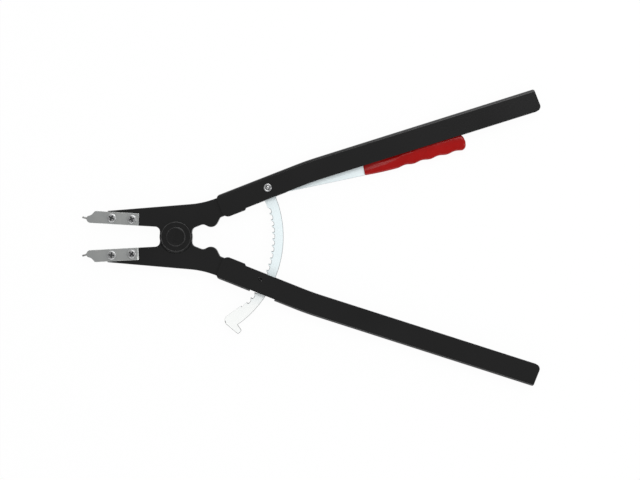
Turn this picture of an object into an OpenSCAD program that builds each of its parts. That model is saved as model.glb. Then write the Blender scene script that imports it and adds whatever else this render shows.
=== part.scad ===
// Large circlip pliers for external retaining rings, with a ratchet bar between the handles.
// Units are mm. The tool lies flat on z = 0, with its pivot axis through the origin and its jaws towards -X.

/* [Jaws] */
// Thickness of both forged jaws
jaw_t = 10; // [8:0.5:14]
// Distance from the pivot to the nose of each jaw
jaw_reach = 86; // [80:1:100]
// Height of a jaw's inner edge above the tool's middle line, beside the neck
jaw_inner_y = 11.9; // [11:0.1:14]
// How much lower the inner edge starts on the handle's side of the neck
neck_step = 1.6; // [0.5:0.1:2.5]
// Height of a jaw's outer edge above the middle line, over the pivot
jaw_outer_y = 38.6; // [34:0.1:44]
// Fall of a jaw's outer edge towards the nose, in degrees
jaw_taper = 4.8; // [2:0.1:6]
// Radius of the sweep from a jaw's outer edge into its tang
jaw_sweep_r = 112; // [60:1:130]
// Length of the tang inside the handle channel
tang_len = 27.5; // [15:0.5:32]
// Step from the handle's spine down to the tang
tang_drop = 2.8; // [2.6:0.1:5]
// Step from the handle's inner edge up to the tang
tang_lift = 0.5; // [0:0.1:1.5]
// Distance of the tang's root ahead of the channel
tang_ahead = 4.4; // [3.5:0.1:6]
// Width of the neck that carries the pivot lug
neck_w = 39.6; // [36:0.1:39.7]
// Fillet between the neck and the jaw's inner edges
neck_fillet = 6; // [3:0.1:6.5]
// Corner of the closing stop, along the tool
stop_x = 46.7; // [45:0.1:48]
// Corner of the closing stop, above the middle line
stop_y = 9; // [8.8:0.1:10.5]
// Rounding of the closing stop
stop_r = 9; // [6:0.1:9.2]
// Hollow beside the closing stop, along the tool
hollow_x = 33.4; // [32:0.1:35]
// Hollow beside the closing stop, above the middle line
hollow_y = 15.6; // [14.5:0.1:17]
// Rounding of the hollow
hollow_r = 7; // [3:0.1:8]

/* [Pivot] */
// Diameter of the half-lapped pivot lugs
lug_d = 40.4; // [40.2:0.1:42]
// Diameter of the pivot rivet's shank
pivot_d = 14; // [10:0.5:18]
// Diameter of the pivot rivet's heads
rivet_head_d = 21.6; // [19:0.1:24]
// Diameter of the pivot washers
washer_d = 36.8; // [32:0.1:38]
// Thickness of the pivot washers
washer_t = 1.2; // [0.8:0.1:1.5]
// Width of the raised rims on the pivot washers
rim_w = 0.8; // [0.5:0.1:1.2]
// Depth of the band between the rims
rim_h = 0.3; // [0.2:0.05:0.5]

/* [Tips] */
// Length of tip plate that lies on its jaw
tip_hold = 40; // [37:0.1:42]
// Angle of the tip plates and of the jaws' inner edges to the middle line, in degrees
tip_splay = 3.2; // [2:0.05:4]
// Length of a tip plate
tip_len = 64; // [58:0.1:70]
// Width of a tip plate
tip_w = 15.1; // [14.6:0.1:17]
// Thickness of a tip plate
tip_t = 5.5; // [5:0.1:7]
// Width of the blunt nose
nose_w = 7.9; // [7.4:0.1:8.6]
// Length of the slope that narrows a tip plate to its nose
nose_len = 11.5; // [10.5:0.1:13]
// Length of the nose ahead of that slope
nose_flat = 5.6; // [5:0.1:6.5]
// Width of the nose where the slope meets it
waist_w = 9.6; // [9:0.1:10.5]
// Chamfer on the rear end of a tip plate
tip_chamfer = 1.5; // [0.5:0.1:2.5]
// Diameter of the pins that enter the ring's holes
tip_pin_d = 2.4; // [1.5:0.1:3]
// Diameter of the pin's root inside the nose
tip_root_d = 3.4; // [3:0.1:3.8]
// Length of pin standing out of the nose
tip_pin_out = 5.5; // [4:0.1:9]
// Length of pin inside the nose
tip_pin_in = 13; // [8:0.5:16]
// Height of the pin above the tip plate's inner edge
tip_pin_v = 5.4; // [5:0.1:6]
// Outward splay of the pin from the tip plate, in degrees
tip_pin_splay = 11; // [5:0.5:14]
// Distance of the rear screw from the rear end of the tip plate
screw_rear = 8.5; // [8:0.1:10]
// Spacing of the two screws
screw_pitch = 24.7; // [20:0.1:28]
// Shank diameter of the tip screws
screw_d = 6; // [4:0.5:6.5]
// Head diameter of the tip screws
screw_head_d = 11; // [9:0.1:12]
// Head height of the tip screws
screw_head_h = 2.6; // [2:0.1:3.5]
// Height of the straight rim of a screw head
screw_rim_h = 1.2; // [0.5:0.1:1.5]
// Diameter of the flat on a screw head
screw_flat_d = 7.5; // [6.5:0.1:8.5]
// Length of the cross recess
recess_len = 5.7; // [4:0.1:6]
// Width of the cross recess
recess_w = 1.2; // [0.8:0.1:1.6]
// Depth of the cross recess
recess_h = 1.7; // [1:0.1:1.9]

/* [Handles] */
// Angle of a handle's first run to the tool's middle line, in degrees
handle_angle = 21.5; // [20.5:0.1:22]
// Offset of a handle's first run from the pivot axis
handle_off = 15.3; // [15:0.1:16.5]
// Distance along the handle from the pivot to the channel's front end
handle_front = 63.5; // [62:0.1:65]
// Height of the channel
handle_h = 27.1; // [26:0.1:28]
// Thickness of the folded sheet
sheet_t = 2; // [1.5:0.1:2.5]
// Outside radius of the fold along the spine
fold_r = 3.6; // [2.6:0.1:4]
// Length of the first run, from the front end to the turn
run_1 = 118; // [110:1:130]
// Length of the second run, from the turn to the handle's end
run_2 = 292.5; // [250:0.5:340]
// Turn of the second run towards the middle line, in degrees
handle_turn = 3.9; // [2:0.1:5]
// Radius of the turn
turn_r = 400; // [300:10:700]
// Length of the deeper ears that hold the tang
ear_len = 27; // [20:0.5:32]
// Extra depth of the ears
ear_drop = 2.1; // [1:0.1:3]
// Rounding of the channel's front corners
front_r = 4.5; // [2:0.1:6]
// Length over which the sheet thins towards its front end
front_slope = 4.5; // [2:0.1:6]
// Thickness left at the front end
front_edge = 0.6; // [0.4:0.1:1.4]
// Slant of the handle's end, in degrees
end_rake = 4; // [0:0.5:12]
// Rounding of the handle's inner end corner
end_r = 6; // [3:0.1:9]
// Rounding of the handle's outer end corner
end_out_r = 2.5; // [1:0.1:5]
// Slot in the lower spine for the ratchet bar, distance of its near end from the pivot
slot_near = 108.3; // [105:0.1:108.6]
// Slot in the lower spine, distance of its far end from the pivot
slot_far = 140.8; // [139:0.1:146]

/* [Ratchet] */
// Distance of the lever pivot along the upper handle
lever_s = 126.7; // [126:0.1:128]
// Offset of the lever pivot from the main pivot, across the handle
lever_t = 15; // [14.6:0.1:15.2]
// Thickness of the ratchet lever plate
plate_t = 4; // [3:0.1:4.5]
// Diameter of the hub around the lever pivot
hub_d = 19.6; // [19.4:0.1:20]
// Diameter of the lever rivet's shank
lever_rivet_d = 8; // [6:0.1:8.5]
// Diameter of the lever rivet's head
lever_head_d = 9.8; // [9:0.1:12]
// Height of the lever rivet's head
lever_head_h = 1.8; // [1.2:0.1:2.5]
// Width of the rolled rim on that head
lever_rim_w = 1.4; // [1:0.1:1.6]
// Diameter of the raised centre of that head
lever_boss_d = 3; // [2.4:0.1:3.2]
// Depth of the groove between them
lever_moat_h = 0.7; // [0.4:0.1:1]
// Radius of the tooth tips around the main pivot
tooth_tip_r = 118; // [117:0.1:119]
// Width of the bar, from the tooth tips to its outer edge
bar_w = 13.7; // [12:0.1:14.5]
// Depth of the teeth
tooth_depth = 2.8; // [2:0.1:3.2]
// Angle between teeth, in degrees
tooth_pitch = 3.8; // [3.7:0.05:4]
// Width of the land on each tooth
tooth_land = 0.8; // [0.5:0.1:1.2]
// Lean of the steep flank, in degrees
flank_lean = 10; // [4:1:14]
// Slope of the long flank, in degrees
ramp_slope = 45; // [40:1:50]
// Number of tooth gaps above the one that faces the pin
gaps_above = 11; // [8:1:11]
// Number of tooth gaps below the one that faces the pin
gaps_below = 4; // [4:1:5]
// Angle of the foot below the middle line, in degrees
foot_angle = 54.9; // [54:0.1:58]
// Length of the foot's root along the bar
foot_root = 16.7; // [15:0.1:18]
// Depth of the foot past its angle
foot_depth = 12.2; // [11:0.1:14]
// Width of the slanted corner of the heel
heel_slant = 4.5; // [3:0.1:6]
// Depth at which that corner starts
heel_depth = 5.5; // [4:0.1:7]
// Depth of the toe
toe_depth = 6.2; // [5:0.1:8]
// Lean of the toe's end
toe_lean = 1.2; // [0.5:0.1:2]
// Radius of the heel inside the foot
heel_r = 115.2; // [114.6:0.1:116]
// Radius of the toe on the foot
toe_r = 141.6; // [138:0.1:146]
// Angle of the lever arm to the middle line, in degrees
arm_angle = 12.1; // [11.5:0.1:12.5]
// Distance of the arm's lower edge from the lever pivot
arm_low = 9.7; // [9:0.1:9.7]
// Diameter of the pin that holds the teeth
pawl_d = 4; // [3:0.1:4.4]
// Angle of the pin below the middle line, in degrees
pawl_angle = 26.5; // [26:0.1:27]
// Clearance between the pin and the tooth tips at rest
pawl_gap = 0.3; // [0.2:0.05:0.6]
// Offset of the pin from the steep flank of the gap that it faces
pawl_seat = 2.1; // [1.8:0.1:2.4]
// Wire diameter of the lever spring
wire_d = 1.2; // [0.8:0.1:1.4]
// Mean coil radius of the lever spring
coil_r = 7.1; // [6.9:0.1:7.6]
// Rise of the coil in one turn
coil_rise = 1.35; // [1.3:0.05:1.6]
// Length of the leg that rests under the spine
leg_len = 24; // [18:0.5:24]
// Angle of that leg to the upper handle, in degrees
leg_lean = 10; // [6:0.5:10]
// Distance of the other leg's hook from the lever pivot
hook_x = 18; // [16:0.1:22]
// Outer diameter of the spacer inside the spring
spacer_d = 12; // [10.5:0.1:12.2]
// Outer diameter of the spacer in front of the lever
front_spacer_d = 16.4; // [14:0.1:18]

/* [Grip] */
// Distance of the grip from the lever pivot
grip_from = 120; // [112:0.5:126]
// Length of the grip
grip_len = 129.9; // [110:0.1:140]
// Height of the grip
grip_h = 20.6; // [18.5:0.1:21]
// Thickness of the grip
grip_t = 9; // [7:0.1:9.4]
// Angle of the grip to the lever arm, in degrees
grip_turn = 3.5; // [3:0.1:4.5]
// Rise of the grip's lower edge at its inner end
grip_rise = 2.2; // [1.5:0.1:3]
// Length over which the lower edge falls to the finger grooves
grip_lead = 40.5; // [35:0.5:50]
// Least wall of the grip around the arm
grip_wall = 2.8; // [2:0.1:3.2]
// Forward lean of the grip's inner end
grip_lean = 1.3; // [0:0.1:2]
// Length of the slanted lower corner of the grip's outer end
grip_toe = 4.9; // [3:0.1:6]
// Height of the outermost point of the grip
grip_point = 9.5; // [8:0.1:12]
// Backward lean of the outer end above that point
grip_back = 1.7; // [0.5:0.1:3]
// Rounding of that lower corner
grip_toe_r = 4; // [2:0.1:4.4]
// Rounding of the outermost point
grip_point_r = 8; // [3:0.1:9]
// Rounding of the outer end's upper corner
grip_top_r = 5; // [2:0.1:6]
// Number of finger grooves
grooves = 4; // [3:1:5]
// Depth of the finger grooves
groove_d = 1.45; // [1:0.05:2.2]

/* [Fits] */
// Radial clearance of turning fits
run_gap = 0.05; // [0.03:0.01:0.09]
// Radial clearance of fixed round seats
seat_gap = 0.02; // [0.01:0.01:0.04]
// Clearance between flat faces that slide
face_gap = 0.1; // [0.06:0.01:0.2]
// Clearance around the pivot lugs and the tip plates
side_gap = 0.4; // [0.3:0.05:0.6]

/* [Hidden] */
$fn = 96;

// Chord error allowed on rounded outlines, and the overshoot of cutting shapes
chord = 0.015;
over = 1;
// Lift of the fold cutter, so that its round leaves the side and the spine at a clear angle
graze = 0.01;
handle_w = jaw_t + 2 * sheet_t;
lug_r = lug_d / 2;
lap_r = lug_r + side_gap;
spine_t = handle_off + handle_h / 2;
edge_t = handle_off - handle_h / 2;
tip_rear = jaw_reach - tip_hold;
tip_y = jaw_inner_y + (tip_rear - neck_w / 2) * tan(tip_splay);
tang_top = spine_t - tang_drop;
tang_low = edge_t + tang_lift;
tang_end = handle_front + tang_len;
tang_root = handle_front - tang_ahead;
turn_s = handle_front + run_1;
turn_tangent = turn_r * tan(handle_turn / 2);
lever_at = at_handle(lever_s, lever_t);
pawl_r = tooth_tip_r - pawl_gap - pawl_d / 2;
tooth_phase = -pawl_angle - atan(pawl_seat / tooth_tip_r);
gap_w = tooth_tip_r * tooth_pitch * PI / 180 - tooth_land;
bar_top = atan2(lever_at.y, lever_at.x);
grip_low = arm_low + grip_rise;
arm_gap = 0.3;
arm_low_end = at_grip(-arm_gap, grip_rise);
arm_high_end = at_grip(
    grip_lean * (grip_h - grip_wall - grip_rise) / (grip_h - grip_rise) - arm_gap, grip_h - grip_wall);
tang_lo = grip_rise + grip_wall;
tang_hi = grip_h - 1.5 * grip_wall;
tang_far = grip_len - 5 * grip_wall;
groove_pitch = (grip_len - grip_lead - grip_toe) / grooves;
groove_stop = grip_len - grip_toe - grip_toe_r * tan(atan2(grip_point, grip_toe) / 2);
coil_z = -jaw_t / 2 + face_gap + wire_d / 2;
leg_turn = handle_angle - arm_angle + leg_lean;

// Point of the handle's own frame, s along its first run and t across it, in the tool's frame
function at_handle(s, t) = spun([s, t], handle_angle);
// Point beside the second run, x past the turn and y outside its centre line, in the handle's frame
function at_run_2(x, y) = [turn_s, handle_off] + spun([x, y], -handle_turn);
// Point of the grip's frame in the arm's frame
function at_grip(x, y) = [grip_from, -grip_low] + spun([x, y], grip_turn);
// Corner of the turn for an edge y outside the centre line
function at_turn(y) = [turn_s + y * tan(handle_turn / 2), handle_off + y];
function unit(v) = v / norm(v);
function spun(v, a) = [v.x * cos(a) - v.y * sin(a), v.x * sin(a) + v.y * cos(a)];
// Points of one corner [x, y, radius] between its neighbours a and b
function corner(a, p, b) =
    let (
        q = [p.x, p.y],
        u = unit([a.x, a.y] - q),
        v = unit([b.x, b.y] - q),
        half = acos(u * v) / 2,
        centre = q + unit(u + v) * (p.z / sin(half)),
        first = q + u * (p.z / tan(half)) - centre,
        turn = (cross(u, v) < 0 ? 1 : -1) * (180 - 2 * half),
        steps = max(2, ceil((180 - 2 * half) / (2 * acos(1 - min(1, chord / p.z)))))
    )
    [for (i = [0:steps]) centre + spun(first, turn * i / steps)];
// Closed outline through corners [x, y, radius], with sharp corners where the radius is 0
function rounded(c) =
    [for (i = [0:len(c) - 1]) each
        c[i].z == 0 ? [[c[i].x, c[i].y]]
            : corner(c[(i + len(c) - 1) % len(c)], c[i], c[(i + 1) % len(c)])];
// Lower edge of the grip: an easing lead, then a row of cosine finger grooves
function grip_edge(x) =
    x < grip_lead ? grip_rise * pow(1 - x / grip_lead, 2)
        : groove_d * (1 - cos(360 * (x - grip_lead) / groove_pitch)) / 2;

module on_plane() { translate([0, 0, handle_w / 2]) children(); }
module below() { mirror([0, 1, 0]) children(); }
module handle_frame() { rotate(handle_angle) children(); }
module tip_frame() { translate([-tip_rear, tip_y]) mirror([1, 0]) rotate(tip_splay) children(); }
module pin_frame() {
    translate([tip_len, tip_pin_v, tip_t / 2]) rotate(tip_pin_splay) rotate([0, 90, 0]) children();
}
module arm_frame() { translate(lever_at) rotate(arm_angle) children(); }
module grip_frame() { arm_frame() translate([grip_from, -grip_low]) rotate(grip_turn) children(); }
module along_x(length) { rotate([90, 0, 90]) linear_extrude(length) children(); }
module plate(t) { translate([0, 0, -t / 2]) linear_extrude(t) children(); }

// Jaw outline: nose, long outer edge, tang, closing stop and neck
module jaw_outline() {
    slope = tan(jaw_taper);
    run = tan(handle_angle);
    rise = tang_top / cos(handle_angle);
    sweep_x = (jaw_outer_y - rise) / (run - slope);
    tang_far_top = at_handle(tang_end, tang_top);
    tang_far_low = at_handle(tang_end, tang_low);
    tang_near_low = at_handle(tang_root, tang_low);
    nose_in = tip_y + tip_hold * tan(tip_splay);
    polygon(rounded([
        [-jaw_reach, jaw_outer_y - jaw_reach * slope, 4],
        [sweep_x, rise + sweep_x * run, jaw_sweep_r],
        [tang_far_top.x, tang_far_top.y, 2],
        [tang_far_low.x, tang_far_low.y, 2],
        [tang_near_low.x, tang_near_low.y, 3],
        [stop_x, stop_y, stop_r],
        [hollow_x, hollow_y, hollow_r],
        [neck_w / 2, jaw_inner_y - neck_step, neck_fillet],
        [neck_w / 2, 0, 0],
        [-neck_w / 2, 0, 0],
        [-neck_w / 2, jaw_inner_y, neck_fillet],
        [-jaw_reach, nose_in, 4]
    ]));
}

// Jaw with its lug on the front half (face 1) or the back half (face -1), bored for the rivet
module jaw(face, bore_gap) {
    difference() {
        union() {
            plate(jaw_t) jaw_outline();
            cylinder(r = lug_r, h = jaw_t, center = true);
        }
        translate([0, 0, face > 0 ? -jaw_t : -face_gap]) cylinder(r = lap_r, h = jaw_t + face_gap);
        cylinder(d = pivot_d + 2 * bore_gap, h = 2 * jaw_t, center = true);
        tip_frame() translate([-side_gap, -tip_w, 0]) cube([2 * tip_len, 2 * tip_w + side_gap, jaw_t]);
        tip_frame() screw_places() cylinder(d = screw_d + 2 * seat_gap, h = 2 * jaw_t, center = true);
    }
}

module screw_places() {
    for (u = [screw_rear, screw_rear + screw_pitch]) translate([u, tip_w / 2, 0]) children();
}

// Tip plate with a swept nose, two screw holes and the pin's hole. Its rear end is chamfered on the front
// (face 1) or the back (face -1): the same plate serves both jaws, turned over
module tip(face) {
    difference() {
        linear_extrude(tip_t) polygon(rounded([
            [0, 0, 0.5],
            [tip_len, 0, 5.5],
            [tip_len, nose_w, 1.2],
            [tip_len - nose_flat, waist_w, 12],
            [tip_len - nose_len, tip_w, 1],
            [0, tip_w, 0.5]
        ]));
        translate([0, 0, tip_t / 2]) mirror([0, 0, face > 0 ? 0 : 1])
            translate([0, 0, tip_t / 2 - tip_chamfer]) rotate([0, -45, 0])
                translate([-tip_t, -over, 0]) cube([3 * tip_t, tip_w + 2 * over, tip_t]);
        screw_places() cylinder(d = screw_d + 2 * run_gap, h = 3 * tip_t, center = true);
        pin_frame() translate([0, 0, -tip_pin_in])
            cylinder(d = tip_root_d + 2 * seat_gap, h = tip_pin_in + tip_pin_out);
    }
}

// Pin with a thicker root, whose shoulder stands just clear of the nose, and a small chamfer on its free end
module tip_pin() {
    pin = tip_pin_d / 2;
    root = tip_root_d / 2;
    chamfer = 0.3;
    shoulder = 0.4;
    tip_frame() pin_frame() rotate_extrude() polygon([
        [0, -tip_pin_in], [root, -tip_pin_in], [root, shoulder], [pin, shoulder],
        [pin, tip_pin_out - chamfer], [pin - chamfer, tip_pin_out], [0, tip_pin_out]
    ]);
}

// Pan-head screw with a cross recess, through the tip plate and flush with the jaw's back
module tip_screw(u) {
    tip_frame() translate([u, tip_w / 2, 0]) difference() {
        union() {
            translate([0, 0, -jaw_t / 2]) cylinder(d = screw_d, h = jaw_t / 2 + tip_t);
            translate([0, 0, tip_t]) cylinder(d = screw_head_d, h = screw_rim_h);
            translate([0, 0, tip_t + screw_rim_h])
                cylinder(d1 = screw_head_d, d2 = screw_flat_d, h = screw_head_h - screw_rim_h);
        }
        for (a = [0, 90]) rotate(a)
            translate([-recess_len / 2, -recess_w / 2, tip_t + screw_head_h - recess_h])
                cube([recess_len, recess_w, screw_head_h]);
    }
}

// Cutter that rounds the fold on one side of the spine, x up from the spine and y from the middle plane
module fold_cutter() {
    half = handle_w / 2;
    translate([graze, graze]) polygon(concat(
        corner([-fold_r - over, half], [0, half, fold_r], [0, 0]),
        [[over, half - fold_r], [over, half + over], [-fold_r, half + over]]
    ));
}

// Folded sheet channel: side outline with ears and a slanted end, hollow, and folds rounded along the spine
module channel() {
    top = handle_h / 2;
    bed = top - sheet_t;
    deep = -top - ear_drop - over;
    slant = tan(end_rake);
    past = run_2 + handle_h;
    ear_s = handle_front + ear_len;
    end_out = at_run_2(run_2, top);
    end_in = at_run_2(run_2 + handle_h * slant, -top);
    turn_out = at_turn(top);
    turn_in = at_turn(-top);
    bed_turn = at_turn(bed);
    bed_end = at_run_2(past, bed);
    deep_turn = at_turn(deep);
    deep_end = at_run_2(past, deep);
    spine_end = at_run_2(past, top);
    spine = concat(
        [[handle_front - over, spine_t]],
        corner([handle_front, spine_t], [turn_out.x, turn_out.y, turn_r + top], end_out),
        [spine_end]
    );
    difference() {
        plate(handle_w) polygon(rounded([
            [handle_front, spine_t, front_r],
            [turn_out.x, turn_out.y, turn_r + top],
            [end_out.x, end_out.y, end_out_r],
            [end_in.x, end_in.y, end_r],
            [turn_in.x, turn_in.y, turn_r - top],
            [ear_s + ear_drop, edge_t, 1.5],
            [ear_s, edge_t - ear_drop, 1.5],
            [handle_front, edge_t - ear_drop, 4]
        ]));
        plate(jaw_t) polygon(rounded([
            [handle_front - over, handle_off + bed, 0],
            [bed_turn.x, bed_turn.y, turn_r + bed],
            [bed_end.x, bed_end.y, 0],
            [deep_end.x, deep_end.y, 0],
            [deep_turn.x, deep_turn.y, 0],
            [handle_front - over, handle_off + deep, 0]
        ]));
        for (i = [0:len(spine) - 2]) let (step = spine[i + 1] - spine[i])
            translate(spine[i]) rotate(atan2(step.y, step.x)) for (side = [0, 1])
                mirror([0, 0, side]) along_x(norm(step)) fold_cutter();
        for (side = [0, 1]) mirror([0, 0, side]) front_cutter();
    }
}

// Wedge that thins one side of the sheet towards the channel's front end
module front_cutter() {
    fall = sheet_t - front_edge;
    long = norm([front_slope, fall]);
    translate([handle_front, 0, jaw_t / 2 + front_edge]) rotate([0, -atan2(fall, front_slope), 0])
        translate([-long, edge_t - handle_h, 0]) cube([2 * long, 3 * handle_h, sheet_t]);
}

// Washer with two raised rims and a bare band between them
module washer() {
    hole = pivot_d / 2 + run_gap;
    inner = rivet_head_d / 2 + rim_w;
    outer = washer_d / 2;
    rotate_extrude() polygon([
        [hole, 0], [outer, 0], [outer, washer_t], [outer - rim_w, washer_t],
        [outer - rim_w, washer_t - rim_h], [inner, washer_t - rim_h], [inner, washer_t], [hole, washer_t]
    ]);
}

// Half a turn of the spring's coil, tilted so that its ends meet the next half
module coil_half(z, way) {
    tilt = atan(coil_rise / 4 / coil_r);
    translate([0, 0, z]) rotate([way * tilt, 0, 0]) rotate(way * 90)
        rotate_extrude(angle = 180) translate([coil_r / cos(tilt), 0]) circle(d = wire_d, $fn = 24);
}

// Part of the arm that the grip covers, grown by gap, with its root inside the open arm
module arm_tang(gap) {
    root = -grip_h / 2;
    far = tang_far + gap;
    low = tang_lo - gap;
    high = tang_hi + gap;
    grip_frame() plate(plate_t + 2 * gap) polygon([[root, low], [far, low], [far, high], [root, high]]);
}

module upper_jaw() { color("dimgray") on_plane() jaw(1, seat_gap); }
module lower_jaw() { color("dimgray") on_plane() below() jaw(-1, run_gap); }

module upper_handle() {
    color("darkslategray") on_plane() difference() {
        handle_frame() channel();
        translate(lever_at) cylinder(d = lever_rivet_d + 2 * seat_gap, h = 2 * handle_w, center = true);
    }
}

module lower_handle() {
    color("darkslategray") on_plane() below() difference() {
        handle_frame() channel();
        handle_frame() translate([slot_near, spine_t - sheet_t, -handle_w])
            cube([slot_far - slot_near, handle_h, 2 * handle_w]);
        rotate(pawl_angle) translate([pawl_r, 0, 0])
            cylinder(d = pawl_d + 2 * seat_gap, h = 2 * handle_w, center = true);
    }
}

module upper_tip() { color("silver") on_plane() tip_frame() tip(-1); }
module lower_tip() { color("silver") on_plane() below() tip_frame() tip(1); }
module upper_tip_pin() { color("gray") on_plane() tip_pin(); }
module lower_tip_pin() { color("gray") on_plane() below() tip_pin(); }
module upper_tip_screw_front() { color("lightgray") on_plane() tip_screw(screw_rear + screw_pitch); }
module upper_tip_screw_rear() { color("lightgray") on_plane() tip_screw(screw_rear); }
module lower_tip_screw_front() { color("lightgray") on_plane() below() tip_screw(screw_rear + screw_pitch); }
module lower_tip_screw_rear() { color("lightgray") on_plane() below() tip_screw(screw_rear); }

// Rivet with two flat heads that stand flush with the handles' sides
module pivot_rivet() {
    reach = handle_w / 2;
    seat = jaw_t / 2 + face_gap + washer_t;
    head = rivet_head_d / 2;
    edge = 0.3;
    color("black") on_plane() rotate_extrude() polygon([
        [0, -reach], [head - edge, -reach], [head, -reach + edge], [head, -seat], [pivot_d / 2, -seat],
        [pivot_d / 2, seat], [head, seat], [head, reach - edge], [head - edge, reach], [0, reach]
    ]);
}

module washer_place() { translate([0, 0, jaw_t / 2 + face_gap]) washer(); }
module pivot_washer_front() { color("gray") on_plane() washer_place(); }
module pivot_washer_back() { color("gray") on_plane() rotate([180, 0, 0]) washer_place(); }

// Rivet whose head has a rolled rim around a raised centre
module lever_rivet() {
    reach = handle_w / 2;
    shank = lever_rivet_d / 2;
    head = lever_head_d / 2;
    top = reach + lever_head_h;
    boss = lever_boss_d / 2;
    foot = 0.2 - reach;
    edge = 0.4;
    wall = 0.6;
    color("lightgray") on_plane() translate(lever_at) rotate_extrude() polygon([
        [0, foot], [shank - edge, foot], [shank, foot + edge], [shank, reach], [head, reach],
        [head, top - edge], [head - edge, top], [head - lever_rim_w, top],
        [head - lever_rim_w - wall, top - lever_moat_h], [boss + wall, top - lever_moat_h],
        [boss, top], [0, top]
    ]);
}

module lever_spacer_front() { color("gray") on_plane() spacer(front_spacer_d, 1); }
module lever_spacer_back() { color("gray") on_plane() spacer(spacer_d, -1); }
module spacer(d, face) {
    from = plate_t / 2 + face_gap;
    translate(lever_at) rotate([face > 0 ? 0 : 180, 0, 0]) translate([0, 0, from]) difference() {
        cylinder(d = d, h = jaw_t / 2 - from);
        cylinder(d = lever_rivet_d + 2 * seat_gap, h = jaw_t, center = true);
    }
}

// Torsion spring: one leg under the spine, a closed end coil, one open turn, and a leg hooked into the arm
module lever_spring() {
    top = coil_z + coil_rise;
    color("slategray") on_plane() arm_frame() {
        translate([0, 0, coil_z]) rotate(90 + leg_turn)
            rotate_extrude(angle = 180 - leg_turn) translate([coil_r, 0]) circle(d = wire_d, $fn = 24);
        translate([0, 0, coil_z]) rotate(leg_turn) translate([0, coil_r, 0]) rotate([0, 90, 0])
            cylinder(d = wire_d, h = leg_len, $fn = 24);
        coil_half(coil_z + coil_rise / 4, -1);
        coil_half(coil_z + coil_rise * 3 / 4, 1);
        translate([0, -coil_r, top]) rotate([0, 90, 0]) cylinder(d = wire_d, h = hook_x, $fn = 24);
        translate([hook_x, -coil_r, top]) sphere(d = wire_d, $fn = 24);
        translate([hook_x, -coil_r, top]) cylinder(d = wire_d, h = plate_t / 2 - top, $fn = 24);
    }
}

module pawl_pin() {
    color("gray") on_plane() rotate(-pawl_angle) translate([pawl_r, 0, 0])
        cylinder(d = pawl_d, h = handle_w - 1, center = true);
}

// Stamped bell crank: toothed bar around the main pivot, hub, foot and the arm of the grip
module ratchet_lever() {
    color("gainsboro") on_plane() difference() {
        union() {
            rotate(-foot_angle) rotate_extrude(angle = foot_angle + bar_top)
                translate([tooth_tip_r, -plate_t / 2]) square([bar_w, plate_t]);
            rotate(-foot_angle) plate(plate_t) polygon(rounded([
                [heel_r, foot_root, 1],
                [heel_r, -heel_depth, 6],
                [heel_r + heel_slant, -foot_depth, 3.5],
                [toe_r, -toe_depth, 1.6],
                [toe_r - toe_lean, 0, 1.6],
                [tooth_tip_r + bar_w - 0.9, 0, 0.8],
                [tooth_tip_r + bar_w / 2, foot_root, 0]
            ]));
            translate(lever_at) cylinder(d = hub_d, h = plate_t, center = true);
            arm_frame() plate(plate_t) polygon([
                [0, -arm_low], arm_low_end, arm_high_end, [0, arm_low - arm_gap]
            ]);
            arm_tang(0);
        }
        for (k = [-gaps_below:gaps_above]) rotate(tooth_phase + k * tooth_pitch) plate(2 * plate_t)
            translate([tooth_tip_r, 0]) polygon(rounded([
                [-over, -over * tan(flank_lean), 0],
                [tooth_depth, tooth_depth * tan(flank_lean), 0.8],
                [tooth_depth, gap_w - tooth_depth / tan(ramp_slope), 1.2],
                [-over, gap_w + over / tan(ramp_slope), 0]
            ]));
        translate(lever_at) cylinder(d = lever_rivet_d + 2 * run_gap, h = 2 * plate_t, center = true);
        arm_frame() translate([hook_x, -coil_r, 0])
            cylinder(d = wire_d + 2 * arm_gap, h = 2 * plate_t, center = true);
    }
}

// Moulded grip over the end of the arm, with finger grooves along its lower edge
module lever_grip() {
    color("firebrick") on_plane() difference() {
        grip_frame() plate(grip_t) polygon(concat(
            [for (i = [1:80]) [groove_stop * i / 80, grip_edge(groove_stop * i / 80)]],
            rounded([
                [grip_len - grip_toe, 0, grip_toe_r],
                [grip_len, grip_point, grip_point_r],
                [grip_len - grip_back, grip_h, grip_top_r],
                [grip_lean, grip_h, 2],
                [0, grip_rise, 0]
            ])
        ));
        arm_tang(seat_gap);
    }
}

upper_jaw();
upper_handle();
upper_tip();
upper_tip_pin();
upper_tip_screw_front();
upper_tip_screw_rear();
lower_jaw();
lower_handle();
lower_tip();
lower_tip_pin();
lower_tip_screw_front();
lower_tip_screw_rear();
pivot_rivet();
pivot_washer_front();
pivot_washer_back();
lever_rivet();
lever_spacer_front();
lever_spacer_back();
lever_spring();
pawl_pin();
ratchet_lever();
lever_grip();
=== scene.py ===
"""Ratchet circlip pliers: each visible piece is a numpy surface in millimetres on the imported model."""

import math

import bpy
import numpy as np
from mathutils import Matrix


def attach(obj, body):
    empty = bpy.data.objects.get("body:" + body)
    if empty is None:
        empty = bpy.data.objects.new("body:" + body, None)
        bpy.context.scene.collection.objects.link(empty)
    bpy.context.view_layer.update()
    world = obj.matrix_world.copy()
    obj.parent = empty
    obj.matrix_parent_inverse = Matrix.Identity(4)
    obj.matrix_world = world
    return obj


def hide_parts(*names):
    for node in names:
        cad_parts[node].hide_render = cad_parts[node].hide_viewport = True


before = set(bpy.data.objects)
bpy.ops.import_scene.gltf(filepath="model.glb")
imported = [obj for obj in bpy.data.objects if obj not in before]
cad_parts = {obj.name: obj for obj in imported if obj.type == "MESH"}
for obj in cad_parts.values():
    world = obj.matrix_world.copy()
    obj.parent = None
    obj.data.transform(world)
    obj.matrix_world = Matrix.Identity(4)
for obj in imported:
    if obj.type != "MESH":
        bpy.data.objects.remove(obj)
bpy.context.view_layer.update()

# Sizes in millimetres: main pivot at the origin, middle plane half a handle's width up
MM = 0.001
JAW_T = 10.0
SHEET_T = 2.0
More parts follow.
